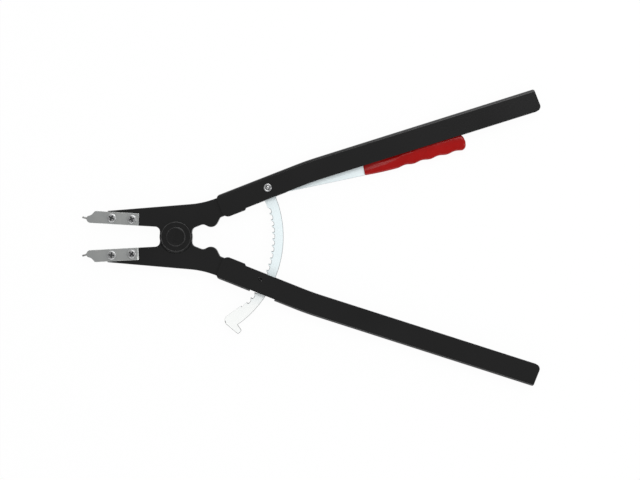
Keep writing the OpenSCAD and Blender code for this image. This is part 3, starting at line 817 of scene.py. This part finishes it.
for name, flip, body in (("upper_handle", False, "upper_lever"), ("lower_handle", True, "lower_lever")):
    dress(handle_piece("pressed_" + name, flip), body, "black_coat", [name], sharp=40)


# Tips, their pins and screws

def tip_shape():
    """Tip plate: an outline with a blunt nose and a hollow sweep behind it, and ground rims."""
    nose_w = 8.2
    sweep_from = TIP_LEN - 9.9
    sweep_to = TIP_LEN - 5.5
    sweep_w = 9.6
    points = outline([[0, 0, 0.5], [TIP_LEN, 0, 5], [TIP_LEN, nose_w, 3.2], [sweep_to, sweep_w, 8],
                      [sweep_from, TIP_W, 0.8], [0, TIP_W, 0.5]])
    verts, faces, wear_and_painted_light = plate(points, MID, MID + TIP_T, TIP_RIM, steps=3)
    verts[:, :2] = at_tip(verts[:, :2])
    return verts, [list(f)[::-1] for f in faces], wear_and_painted_light


def rear_chamfer(face):
    """Wedge that slopes the rear end of a tip plate, on its front (1) or its back (-1)."""
    length = 2.0
    depth = 1.1
    past = 4.0
    lift = 0.02
    u = np.array([-past, length, -past])
    z = MID + TIP_T / 2 + face * (TIP_T / 2 + np.array([lift, lift, -depth * (1 + past / length)]))
    rows = [np.concatenate([at_tip(np.stack([u, np.full(3, v)], 1)), z[:, None]], 1)
            for v in (-past, TIP_W + past)]
    return loft(np.stack(rows[::-int(face)]))


def pin_shape():
    """Ring pin: a thick root in the nose, a shoulder, and a straight end with a rounded edge."""
    depth = 13
    root_r = 1.7
    step = 0.4
    pin_r = 1.2
    length = 5.5
    root = [[0, -depth], [root_r, -depth], [root_r, step - 0.15], [root_r - 0.15, step]]
    pin = [[pin_r, step], [pin_r, length - 0.5], [pin_r - 0.08, length - 0.2], [pin_r - 0.3, length],
           [0, length]]
    verts, faces, wear_and_painted_light = lathe(root + pin, steps=48)
    a = math.radians(PIN_SPLAY)
    u = TIP_LEN + verts[:, 2] * math.cos(a) - verts[:, 0] * math.sin(a)
    v = PIN_V + verts[:, 2] * math.sin(a) + verts[:, 0] * math.cos(a)
    flat = at_tip(np.stack([u, v], 1))
    return np.concatenate([flat, verts[:, 1:2] + MID + TIP_T / 2], 1), [f[::-1] for f in faces], wear_and_painted_light


def screw_shape(u, turn):
    """Pan-head screw: height over a polar grid, a low crown less a cross recess with sloping walls."""
    head_r = 5.5
    shank_r = 3.0
    crown = 2.6
    crown_fall = 0.28
    edge_from = 0.8
    edge_fall = 0.9
    recess_half = 0.95
    recess_wall = 0.35
    recess_reach = 3.5
    recess_end = 0.5
    recess_depth = 2.0
    end_gap = 0.05
    radius = np.concatenate([np.linspace(0.02, 0.62, 34), np.linspace(0.64, 1, 22)]) * head_r
    angle = np.linspace(0, 2 * math.pi, 144, endpoint=False)
    r, a = np.meshgrid(radius, angle, indexing="ij")
    x = r * np.cos(a + math.radians(turn))
    y = r * np.sin(a + math.radians(turn))
    share = r / head_r
    edge = np.clip((share - edge_from) / (1 - edge_from), 0, 1)
    cross = np.abs(r * np.cos(a)), np.abs(r * np.sin(a))
    beside = np.minimum(*cross)
    along = np.maximum(*cross)
    walls = np.clip((recess_half - beside) / recess_wall, 0, 1)
    slot = walls * np.clip((recess_reach - along) / recess_end, 0, 1)
    z = crown * (1 - crown_fall * share ** 2) - edge_fall * edge ** 2 - recess_depth * slot
    top = MID + TIP_T

    def ring(radius, height):
        """One level row of the shank or the head's rim."""
        scale = radius / head_r
        return np.stack([x[-1] * scale, y[-1] * scale, np.full(len(angle), height)], -1)[None]

    shank = [ring(shank_r, MID - JAW_T / 2 + end_gap), ring(shank_r, top), ring(head_r, top)]
    head = np.stack([x, y, z + top], -1)
    verts, faces, wear_and_painted_light = loft(np.concatenate([*shank, head[::-1]]))
    # The cross recess is masked for the near black painted shade of bright_fasteners.
    wear_and_painted_light[-slot.size:] = slot[::-1].ravel()
    return verts + [*at_tip([[u, TIP_W / 2]])[0], 0], faces, wear_and_painted_light


for side_name, side, body, face, turns in (("upper", as_made, "upper_lever", -1, (20, 62)),
                                           ("lower", mirrored, "lower_lever", 1, (35, 8))):
    tip = new_object("ground_" + side_name + "_tip", side(tip_shape()))
    carve(tip, side(rear_chamfer(face)))
    dress(tip, body, "tip_steel", [side_name + "_tip"])
    pin = new_object("ring_" + side_name + "_pin", side(pin_shape()))
    dress(pin, body, "hard_steel", [side_name + "_tip_pin"])
    for (end, u), turn in zip(SCREW_US.items(), turns):
        screw = new_object("cross_" + side_name + "_" + end + "_screw", side(screw_shape(u, turn)))
        dress(screw, body, "bright_fasteners", [side_name + "_tip_screw_" + end], sharp=50)


# Main pivot

def rivet_shape():
    """Main rivet: shank between two low heads, the front one faintly crowned with a rolled edge."""
    head = 10.8
    roll = 0.45
    seat = JAW_T / 2 + FACE_GAP + WASHER_T
    a = np.linspace(0, math.pi / 2, 6)
    edge = np.stack([head - roll + roll * np.cos(a), MID - roll + roll * np.sin(a)], 1)
    crown = np.array([[9.4, -0.02], [8.9, -0.12], [8.4, -0.14], [4, -0.1], [0, -0.08]]) + [0, MID]
    front = np.concatenate([[[PIVOT_R, seat], [head, seat]], edge, crown])
    back = np.concatenate([[[0, -MID]], edge[::-1] * [1, -1], [[head, -seat], [PIVOT_R, -seat]]])
    return moved(lathe(np.concatenate([back, front]), steps=128), [0, 0, MID])


def washer_shape():
    """Pivot washer: two raised rims with rounded tops and a bare sunk band between them."""
    top = WASHER_T
    bore = PIVOT_R + 0.05
    outer = 18.4
    inner = 11.6
    band = top - 0.3
    foot = [[bore, 0, 0], [outer - 0.2, 0, 0], [outer, 0.2, 0]]
    # The third column lightens the rim tops in black_pivot: partly rubbed oxide, partly a painted
    # highlight.
    outer_rim = [[outer, top - 0.25, 0.7], [outer - 0.25, top, 1], [outer - 0.6, top, 1],
                 [outer - 0.85, top - 0.08, 0.7]]
    sunk_band = [[outer - 1.0, band, 0], [inner + 0.2, band, 0]]
    inner_rim = [[inner, top - 0.08, 0.7], [inner - 0.2, top, 1], [inner - 0.6, top, 1]]
    inner_flat = [[inner - 0.8, top, 0], [bore, top, 0]]
    return lathe_ring(foot + outer_rim + sunk_band + inner_rim + inner_flat, steps=160)


washer_z = JAW_T / 2 + FACE_GAP
front_washer = moved(washer_shape(), [0, 0, MID + washer_z])
back_washer = moved(turned_over(washer_shape()), [0, 0, MID - washer_z])
for name, shape, node in (("turned_pivot_rivet", rivet_shape(), "pivot_rivet"),
                          ("front_pivot_washer", front_washer, "pivot_washer_front"),
                          ("back_pivot_washer", back_washer, "pivot_washer_back")):
    dress(new_object(name, shape), "upper_lever", "black_pivot", [node])


# Ratchet lever, its grip, rivet and spring

def tooth_corners(k):
    """One tooth gap: steep flank, round valley and long ramp, from tooth tip to tooth tip."""
    gap = TOOTH_R * math.radians(TOOTH_PITCH) - TOOTH_LAND
    lean = TOOTH_DEPTH * math.tan(math.radians(TOOTH_LEAN))
    valley = TOOTH_R + TOOTH_DEPTH
    ramp_foot = gap - TOOTH_DEPTH
    tip = math.sqrt(TOOTH_R ** 2 - gap ** 2)
    rows = np.array([[TOOTH_R, 0, TOOTH_TIP_R],
                     [TOOTH_R + TOOTH_DEPTH / 3, lean / 3, 0],
                     [valley, lean, 0.8],
                     [valley, ramp_foot, 1.2],
                     [tip, gap, TOOTH_TIP_R]])
    rows[:, :2] = turned(rows[:, :2], TOOTH_PHASE + k * TOOTH_PITCH)
    return rows.tolist()


def lever_outline():
    """Stamped plate: foot, toothed inner edge, hub, arm into the grip, and the outer arc to the foot."""
    heel = 115.2
    first = 16.9
    hub_short = 8
    hub_past = 3
    crook_r = 5
    arc_short = 6
    foot_gap = 0.8
    foot = np.array([[BAR_OUT - 0.1, 0, 0.8], [140.4, 0, 1.6], [141.6, -6.2, 1.6], [heel, -13.4, 7],
                     [heel, first - 0.2, 0.8], [math.sqrt(TOOTH_R ** 2 - first ** 2), first, 0]])
    foot[:, :2] = turned(foot[:, :2], -FOOT_ANGLE)
    teeth = [row for k in range(FIRST_TOOTH, FIRST_TOOTH + TEETH) for row in tooth_corners(k)]
    aim = math.degrees(math.atan2(LEVER_AT[1], LEVER_AT[0]))
    hub = circle_points(HUB_R, aim + 180 - hub_short, ARM_ANGLE + 90 + hub_past, 30, LEVER_AT)
    y = np.array([GRIP_H - GRIP_WALL, GRIP_H - 1.5 * GRIP_WALL, GRIP_RISE + GRIP_WALL, GRIP_RISE])
    x = GRIP_LEAN * (y - GRIP_RISE) / (GRIP_H - GRIP_RISE) - ARM_GAP
    far = GRIP_LEN - 5 * GRIP_WALL
    arm = at_grip([[x[0], y[0]], [x[1], y[1]], [far, y[1]], [far, y[2]], [x[2], y[2]], [x[3], y[3]]])
    start = at_arm([[0, -ARM_LOW]])[0]
    ahead = turned([[1, 0]], ARM_ANGLE)[0]
    lead = start @ ahead
    crook = start + ahead * (math.sqrt(lead ** 2 - start @ start + BAR_OUT ** 2) - lead)
    crook_angle = math.degrees(math.atan2(crook[1], crook[0]))
    outer = circle_points(BAR_OUT, crook_angle - arc_short, foot_gap - FOOT_ANGLE, 110)
    return outline(foot.tolist() + teeth + [[*p, 0] for p in (*hub, *arm)]
                   + [[*crook, crook_r]] + [[*p, 0] for p in outer])


def grip_edge(x):
    """Lower edge of the grip: an easing lead, then a row of cosine finger grooves."""
    pitch = (GRIP_LEN - GRIP_LEAD - GRIP_TOE) / GROOVES
    lead = GRIP_RISE * np.clip(1 - x / GRIP_LEAD, 0, 1) ** 2
    grooves = GROOVE_D * (1 - np.cos(2 * math.pi * (x - GRIP_LEAD) / pitch)) / 2
    return np.where(x < GRIP_LEAD, lead, grooves)


def spread(points, count):
    """Points at equal steps along a polyline, its first and last included."""
    p = np.asarray(points, float)
    along = np.concatenate([[0], np.cumsum(np.linalg.norm(np.diff(p, axis=0), axis=1))])
    share = np.linspace(0, along[-1], count)
    return np.stack([np.interp(share, along, p[:, 0]), np.interp(share, along, p[:, 1])], 1)


def grip_rails():
    """Lower and upper edge of the grip as matching rows: along the grooves, then round the outer end."""
    stop = GRIP_LEN - GRIP_END
    inner_end = GRIP_EDGE_R * (1 - np.cos(np.linspace(0, math.pi / 2, 7)))
    x = np.concatenate([inner_end, np.linspace(GRIP_EDGE_R, stop, 140)[1:]])
    lean = GRIP_LEAN * (1 - x / stop)
    low = np.stack([x, grip_edge(x)], 1)
    high = np.stack([x + lean, np.full(len(x), GRIP_H)], 1)
    end = outline([[stop, 0, 0], [GRIP_LEN - GRIP_CORNER, 0, 6.5], [GRIP_LEN, GRIP_POINT, 8],
                   [GRIP_LEN - GRIP_BACK, GRIP_H, 8], [stop, GRIP_H, 0]])
    tip = int(np.argmax(end[:, 0]))
    low_end = spread(np.concatenate([low[-1:], end[1:tip + 1]]), 26)
    high_end = spread(np.concatenate([high[-1:], end[tip:-1][::-1]]), 26)
    return np.concatenate([low, low_end[1:-1]]), np.concatenate([high, high_end[1:-1]])


def grip_shape():
    """Moulded grip: a superellipse section spanned between its edges, drawn in at both ends by arcs.

    Above a shoulder that climbs along the grip, both faces step in by a smooth cubic towards the channel.
    """
    fullness = 2.7
    inner_share = 0.8
    outer_share = 0.55
    low, high = grip_rails()
    span = high - low
    tall = np.linalg.norm(span, axis=1) / 2
    across = span / (2 * tall[:, None])
    middle = (low + high) / 2

    def drawn_in(gap, radius):
        """Depth of a quarter arc at a distance from the end."""
        d = np.clip(radius - gap, 0, radius)
        return radius - np.sqrt(np.maximum(radius ** 2 - d ** 2, 0))

    def crowned(wave):
        """Sine or cosine with its curve filled out, as a superellipse has it."""
        return np.sign(wave) * np.abs(wave) ** (2 / fullness)

    inner_end = inner_share * drawn_in(low[:, 0], GRIP_EDGE_R)
    outer_end = outer_share * drawn_in(GRIP_LEN - middle[:, 0], GRIP_NOSE_R)
    half = GRIP_T / 2 - inner_end - outer_end
    tall = tall - inner_end
    a = np.linspace(0, 2 * math.pi, 72, endpoint=False)
    along = tall[:, None] * crowned(np.sin(a))
    z = half[:, None] * crowned(np.cos(a))
    above = along + tall[:, None] - SHOULDER_V - SHOULDER_CLIMB * low[:, :1]
    step = np.clip(above / SHOULDER_W, 0, 1)
    z = z * (1 - SHOULDER_D / (GRIP_T / 2) * step ** 2 * (3 - 2 * step))
    flat = middle[:, None] + across[:, None] * along[..., None]
    flat = at_grip(flat.reshape(-1, 2)).reshape(flat.shape)
    return loft(np.concatenate([flat, (z + MID)[..., None]], 2)[:, ::-1])


def lever_rivet_shape():
    """Lever rivet: plain shank, flush back, and a head with a rolled rim round a raised centre."""
    head = 4.9
    shank_r = 4
    back = 0.2 - MID
    bevel = 0.4
    top = MID + 1.8
    roll = 0.95
    boss_r = 1.7
    boss_h = 0.85
    roll_under = 0.4
    roll_in = 0.3
    boss_from = 0.35
    a = np.linspace(-roll_under, math.pi + roll_in, 14)
    rim = np.stack([head - roll + roll * np.cos(a), top - roll + roll * np.sin(a)], 1)
    b = np.linspace(boss_from, math.pi / 2, 8)
    boss = np.stack([boss_r * np.cos(b), top - boss_h + boss_h * np.sin(b)], 1)
    boss[-1, 0] = 0
    shank = [[0, back], [shank_r - bevel, back], [shank_r, back + bevel], [shank_r, MID],
             [head - 0.15, MID]]
    # Painted shade: the groove round the raised centre is masked for the near black tone of
    # bright_fasteners.
    painted_shade_groove = [[2.75, top - 1.0, 0.9], [2.1, top - 1.0, 0.9]]
    return moved(lathe(shank + rim.tolist() + painted_shade_groove + boss.tolist()), [*LEVER_AT, MID])


def pawl_pin_shape():
    """Catch pin: a plain turned pin just below both faces of the handle, its ends drilled to a point."""
    radius = PAWL_D / 2
    end = MID - 0.5
    bevel = 0.1
    drill_r = 1.6
    drill_depth = 2.3
    half = [[radius, end - bevel], [radius - bevel, end], [drill_r, end], [0, end - drill_depth]]
    profile = np.array([[r, -z] for r, z in half[::-1]] + half)
    return moved(lathe(profile, steps=48), [*turned([[PAWL_R, 0]], -PAWL_ANGLE)[0], MID])


def spring_shape():
    """Torsion spring: a leg under the spine, a coil that climbs as it turns, and a leg into the arm."""
    coil_r = 7.1
    wire = 0.6
    spine_leg = 24
    arm_leg = 16.8
    hook_r = 1.2
    hook_len = 2.4
    leg_turn = HANDLE_ANGLE - ARM_ANGLE + 10
    low = -JAW_T / 2 + FACE_GAP + wire
    rise = 1.35
    t = np.linspace(0, 1, 120)
    sweep = np.radians(90 + leg_turn + t * (540 - leg_turn))
    coil = np.stack([coil_r * np.cos(sweep), coil_r * np.sin(sweep), low + rise * t], 1)
    heading = np.array([math.cos(math.radians(leg_turn)), math.sin(math.radians(leg_turn)), 0])
    first = coil[0] + np.linspace(spine_leg, 0, 14)[:-1, None] * heading
    last = coil[-1] + np.linspace(0, arm_leg, 12)[1:, None] * np.array([1, 0, 0])
    b = np.linspace(0, math.pi / 2, 8)[1:]
    bend = last[-1] + hook_r * np.stack([np.sin(b), 0 * b, 1 - np.cos(b)], 1)
    hook = bend[-1] + np.linspace(0, hook_len, 5)[1:, None] * np.array([0, 0, 1])
    path = np.concatenate([first, coil, last, bend, hook])
    reference = path * [1, 1, 0]
    verts, faces, wear_and_painted_light = tube(path, wire, reference)
    flat = at_arm(verts[:, :2])
    return np.concatenate([flat, verts[:, 2:] + MID], 1), faces, wear_and_painted_light


def lever_shape():
    """Stamped lever: its cut edge is rolled most on the steep flanks and least at the tooth tips.

    Its cut walls carry a painted shade, weaker on the arm, for the dark outline and the marks in the tooth
    gaps.
    """
    tip_rim = 0.2
    valley_rim = 0.5
    flank_rim = 0.9
    tip_zone = 0.6
    valley_zone = 1.6
    steep_from = 0.9
    spare = 0.3
    arm_edge_shade = 0.4
    points = lever_outline()
    reach = np.linalg.norm(points, axis=1)
    edge = np.roll(points, -1, 0) - points
    radial = np.abs(np.sum(edge * points, 1)) / (reach * np.linalg.norm(edge, axis=1))
    half = TOOTH_DEPTH / 2
    steep = (radial > steep_from) & (np.abs(reach - TOOTH_R - half) < half + spare)
    flank = np.maximum(steep, np.roll(steep, 1)).astype(float)
    valley = np.clip((reach - TOOTH_R - tip_zone) / valley_zone, 0, 1)
    tip = np.abs(reach - TOOTH_R) < tip_zone
    rim = tip_rim + valley_rim * valley + flank_rim * flank * (1 - tip)
    # Share of the painted shade on each cut wall: full on the foot and teeth, less on the arm.
    on_arm = (points[:, 1] > 0) & (reach > BAR_OUT + 1)
    share = np.where(on_arm, arm_edge_shade, 1)
    return plate(points, MID - PLATE_T / 2, MID + PLATE_T / 2, rim, edge_shade=share)


for name, make, body, finish, node, sharp in (
        ("stamped_ratchet_lever", lever_shape, "ratchet", "zinc_plate", "ratchet_lever", 32),
        ("moulded_lever_grip", grip_shape, "ratchet", "red_plastic", "lever_grip", 60),
        ("bright_lever_rivet", lever_rivet_shape, "upper_lever", "bright_fasteners", "lever_rivet", 50),
        ("wound_lever_spring", spring_shape, "upper_lever", "hard_steel", "lever_spring", 60),
        ("catch_pawl_pin", pawl_pin_shape, "lower_lever", "black_pivot", "pawl_pin", 32)):
    dress(new_object(name, make()), body, finish, [node], sharp)
for node in ("lever_spacer_front", "lever_spacer_back"):
    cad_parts[node].data.materials.clear()
    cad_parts[node].data.materials.append(finishes["zinc_plate"])


# Studio: a photo pixel in millimetres, the photo's size, the pivot's place in it, and the camera

PIXEL = 1.2254
PHOTO = (640, 480)
PIVOT_PIXEL = (175.9, 236.75)
ROLL = 0.15
FACE_Z = 12.0
LENS = 90.0
SENSOR = 36.0
LAMP_AIM = (0.17, 0.0, 0.0)


def studio_camera():
    """Camera straight above, a little turned, at the height where a photo pixel covers its size."""
    camera = bpy.data.cameras.new("camera")
    camera.lens = LENS
    camera.sensor_width = SENSOR
    holder = add_object("camera", camera)
    aside = np.array([[PHOTO[0] / 2 - PIVOT_PIXEL[0], PIVOT_PIXEL[1] - PHOTO[1] / 2]]) * PIXEL
    x, y = turned(aside, ROLL)[0]
    height = PHOTO[0] * PIXEL * LENS / SENSOR + FACE_Z
    holder.location = (x * MM, y * MM, height * MM)
    holder.rotation_euler = (0, 0, math.radians(ROLL))
    bpy.context.scene.camera = holder


def seen_mask(tree):
    """1 for rays from the camera, or reflected or passed on by the object, 0 for the light on it."""
    path = tree.nodes.new("ShaderNodeLightPath")
    first = math_node(tree, "MAXIMUM")
    second = math_node(tree, "MAXIMUM")
    link = tree.links.new
    link(path.outputs["Is Camera Ray"], first.inputs[0])
    link(path.outputs["Is Glossy Ray"], first.inputs[1])
    link(first.outputs["Value"], second.inputs[0])
    link(path.outputs["Is Transmission Ray"], second.inputs[1])
    return second.outputs["Value"]


def studio_floor():
    """White floor that glows to the camera and still darkens a little under the tool."""
    size = 6.0
    z = -0.0002
    glow_share = 0.96
    mesh = bpy.data.meshes.new("floor")
    corners = [(-size, -size, z), (size, -size, z), (size, size, z), (-size, size, z)]
    mesh.from_pydata(corners, [], [(0, 1, 2, 3)])
    floor = add_object("floor", mesh)
    material = bpy.data.materials.new("floor_white")
    material.use_nodes = True
    tree = material.node_tree
    tree.nodes.remove(tree.nodes["Principled BSDF"])
    lit = tree.nodes.new("ShaderNodeBsdfDiffuse")
    lit.inputs["Color"].default_value = (0.9, 0.9, 0.9, 1)
    glow = tree.nodes.new("ShaderNodeEmission")
    glow.inputs["Strength"].default_value = 1.0
    part = math_node(tree, "MULTIPLY")
    part.inputs[1].default_value = glow_share
    link = tree.links.new
    link(seen_mask(tree), part.inputs[0])
    mix = tree.nodes.new("ShaderNodeMixShader")
    link(part.outputs["Value"], mix.inputs[0])
    link(lit.outputs[0], mix.inputs[1])
    link(glow.outputs[0], mix.inputs[2])
    link(mix.outputs[0], tree.nodes["Material Output"].inputs["Surface"])
    mesh.materials.append(material)


def studio_world():
    """Plain surround: white at eye level and grey overhead where it is seen, and even as light."""
    eye_level = 0.05
    overhead = 0.35
    overhead_grey = 0.26
    even_light = 0.63
    world = bpy.data.worlds.new("studio")
    bpy.context.scene.world = world
    world.use_nodes = True
    tree = world.node_tree
    glow = tree.nodes["Background"]
    glow.inputs["Color"].default_value = (1, 1, 1, 1)
    place = tree.nodes.new("ShaderNodeTexCoord")
    height = tree.nodes.new("ShaderNodeSeparateXYZ")
    fade = map_range(tree, eye_level, overhead)
    fade.inputs["To Min"].default_value = 1.0
    fade.inputs["To Max"].default_value = overhead_grey
    level = tree.nodes.new("ShaderNodeMapRange")
    level.inputs["To Min"].default_value = even_light
    link = tree.links.new
    link(place.outputs["Generated"], height.inputs["Vector"])
    link(height.outputs["Z"], fade.inputs["Value"])
    link(fade.outputs["Result"], level.inputs["To Max"])
    link(seen_mask(tree), level.inputs["Value"])
    link(level.outputs["Result"], glow.inputs["Strength"])


def studio_panel(name, place, size, power):
    """Soft rectangular lamp at a place, facing the middle of the tool."""
    lamp = bpy.data.lights.new(name, "AREA")
    lamp.shape = "RECTANGLE"
    lamp.size, lamp.size_y = size
    lamp.energy = power
    holder = add_object(name, lamp)
    holder.location = place
    away = np.asarray(place, float) - LAMP_AIM
    flat = math.hypot(away[0], away[1])
    holder.rotation_euler = (math.atan2(flat, away[2]), 0, math.atan2(away[1], away[0]) + math.pi / 2)


studio_camera()
studio_floor()
studio_world()
studio_panel("window", (0.6, 1.2, 1.65), (1.5, 0.9), 13)
studio_panel("fill", (-0.1, -1.9, 0.8), (2.2, 0.6), 11)
studio_panel("strip", (0.75, 1.9, 0.55), (2.4, 0.5), 12)
studio_panel("side", (1.6, -0.1, 1.2), (0.7, 0.5), 6)
bpy.context.scene.view_settings.view_transform = "Standard"
